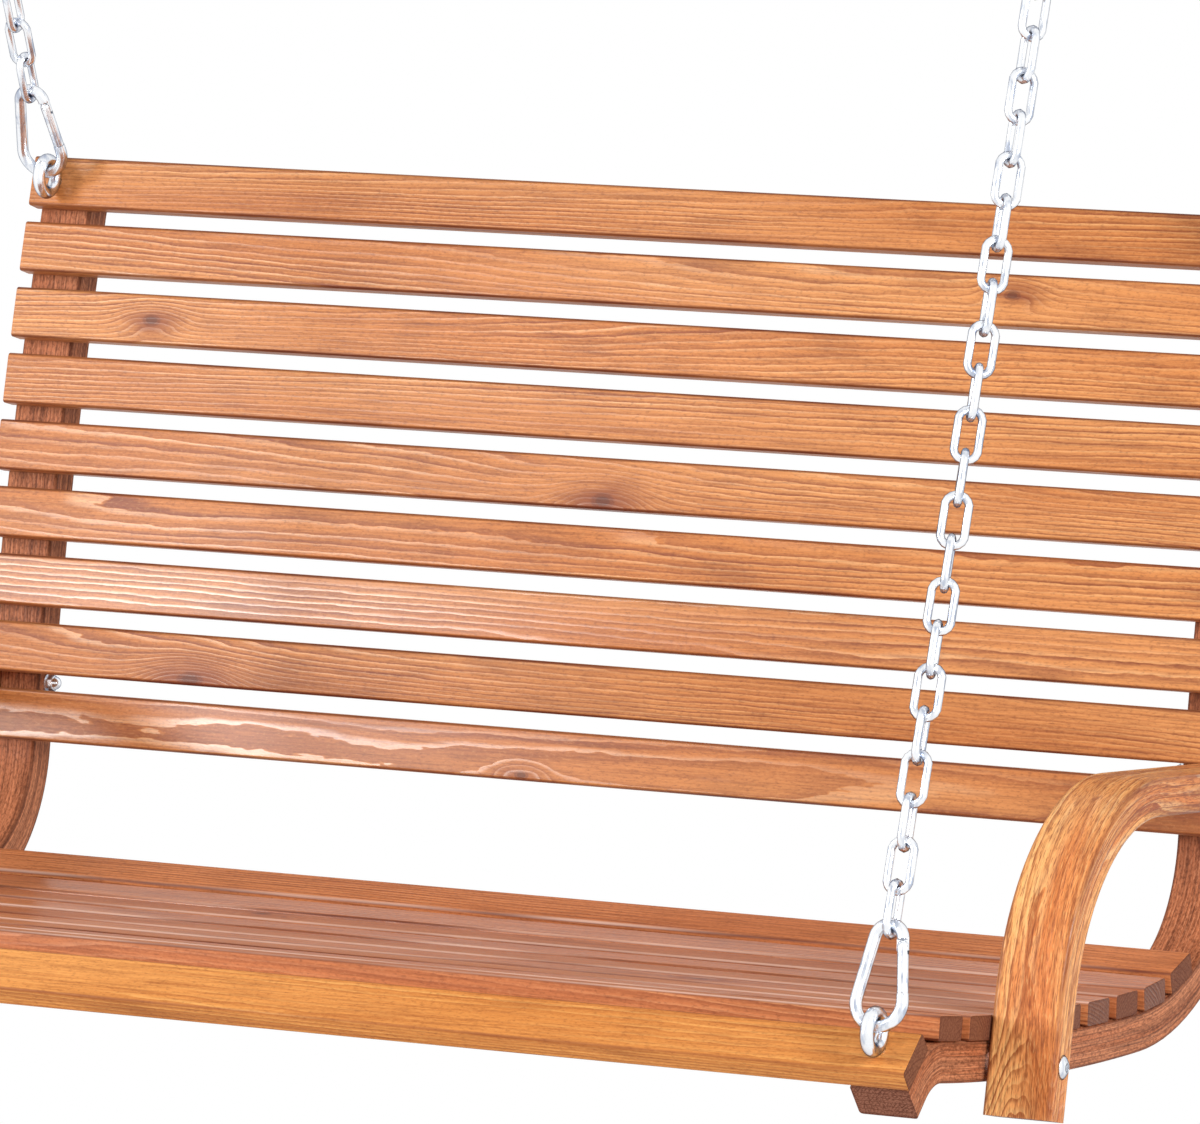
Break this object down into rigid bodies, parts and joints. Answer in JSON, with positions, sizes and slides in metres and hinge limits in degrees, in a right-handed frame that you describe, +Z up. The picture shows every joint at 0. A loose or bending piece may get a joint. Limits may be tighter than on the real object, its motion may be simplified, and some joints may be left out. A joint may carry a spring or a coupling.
{
  "type": "swing bench",
  "caption": "Slatted timber swing bench with bent side rails, curved armrests and chains that run from eye bolts to spring hooks overhead.",
  "frame": {"origin": "midway between the bearing points inside the upper bends of the two top hooks", "axes": "+X along the bench towards its left-hand end as sat on, the sitter faces -Y, +Z up"},
  "size_m": [1.327, 0.849, 1.4086],
  "materials": {
    "stained_larch": "satin brown stain on softwood slats",
    "dark_larch": "satin red-brown stain on bent laminations",
    "golden_larch": "satin golden stain",
    "bright_zinc": "bright zinc plated steel"
  },
  "bodies": {
    "hanger": {"top_hook_left": "bright_zinc", "top_hook_right": "bright_zinc", "top_hook_pins": "bright_zinc"},
    "bench": {"arm_bolts": "bright_zinc", "arm_spacers": "bright_zinc", "arm_washers": "bright_zinc", "armrest_left": "golden_larch", "armrest_right": "golden_larch", "back_screws": "bright_zinc", "back_slat_1": "stained_larch", "back_slat_2": "stained_larch", "back_slat_3": "stained_larch", "back_slat_4": "stained_larch", "back_slat_5": "stained_larch", "back_slat_6": "stained_larch", "back_slat_7": "stained_larch", "back_slat_8": "stained_larch", "back_slat_9": "stained_larch", "cap_nuts": "bright_zinc", "chain_front_left": "bright_zinc", "chain_front_right": "bright_zinc", "chain_rear_left": "bright_zinc", "chain_rear_right": "bright_zinc", "eye_nuts": "bright_zinc", "eye_washers": "bright_zinc", "front_board": "golden_larch", "front_eye_bolts": "bright_zinc", "hook_front_left": "bright_zinc", "hook_front_right": "bright_zinc", "hook_pins": "bright_zinc", "hook_rear_left": "bright_zinc", "hook_rear_right": "bright_zinc", "rear_eye_bolts": "bright_zinc", "seat_screws": "bright_zinc", "seat_slat_1": "stained_larch", "seat_slat_2": "stained_larch", "seat_slat_3": "stained_larch", "seat_slat_4": "stained_larch", "seat_slat_5": "stained_larch", "seat_slat_6": "stained_larch", "seat_slat_7": "stained_larch", "seat_slat_8": "stained_larch", "seat_slat_9": "stained_larch", "side_rail_left": "dark_larch", "side_rail_right": "dark_larch"},
    "gate_front_left": {"hook_front_left_gate": "bright_zinc"},
    "gate_front_right": {"hook_front_right_gate": "bright_zinc"},
    "gate_rear_left": {"hook_rear_left_gate": "bright_zinc"},
    "gate_rear_right": {"hook_rear_right_gate": "bright_zinc"},
    "gate_top_left": {"top_hook_left_gate": "bright_zinc"},
    "gate_top_right": {"top_hook_right_gate": "bright_zinc"}
  },
  "joints": [
    {"name": "swing", "type": "hinge", "parent": "hanger", "child": "bench", "pos_m": [0, 0, -0.076], "axis": [1, 0, 0], "range_deg": [-25, 25]},
    {"name": "gate_front_left_hinge", "type": "hinge", "parent": "bench", "child": "gate_front_left", "pos_m": [-0.56042, -0.46052, -1.23504], "axis": [0.0005, 0.9293, -0.3692], "range_deg": [0, 22], "stiffness_Nm_per_rad": 0.05, "springref_deg": -11.46},
    {"name": "gate_front_right_hinge", "type": "hinge", "parent": "bench", "child": "gate_front_right", "pos_m": [0.58558, -0.46052, -1.23504], "axis": [0.0005, 0.9293, -0.3692], "range_deg": [0, 22], "stiffness_Nm_per_rad": 0.05, "springref_deg": -11.46},
    {"name": "gate_rear_left_hinge", "type": "hinge", "parent": "bench", "child": "gate_rear_left", "pos_m": [-0.55988, 0.23612, -0.69315], "axis": [0.0009, 0.934, 0.3573], "range_deg": [0, 22], "stiffness_Nm_per_rad": 0.05, "springref_deg": -11.46},
    {"name": "gate_rear_right_hinge", "type": "hinge", "parent": "bench", "child": "gate_rear_right", "pos_m": [0.58612, 0.23612, -0.69315], "axis": [0.0009, 0.934, 0.3573], "range_deg": [0, 22], "stiffness_Nm_per_rad": 0.05, "springref_deg": -11.46},
    {"name": "gate_top_left_hinge", "type": "hinge", "parent": "hanger", "child": "gate_top_left", "pos_m": [-0.56023, 0, -0.01111], "axis": [0, 1, 0], "range_deg": [0, 22], "stiffness_Nm_per_rad": 0.05, "springref_deg": -11.46},
    {"name": "gate_top_right_hinge", "type": "hinge", "parent": "hanger", "child": "gate_top_right", "pos_m": [0.58577, 0, -0.01111], "axis": [0, 1, 0], "range_deg": [0, 22], "stiffness_Nm_per_rad": 0.05, "springref_deg": -11.46}
  ]
}
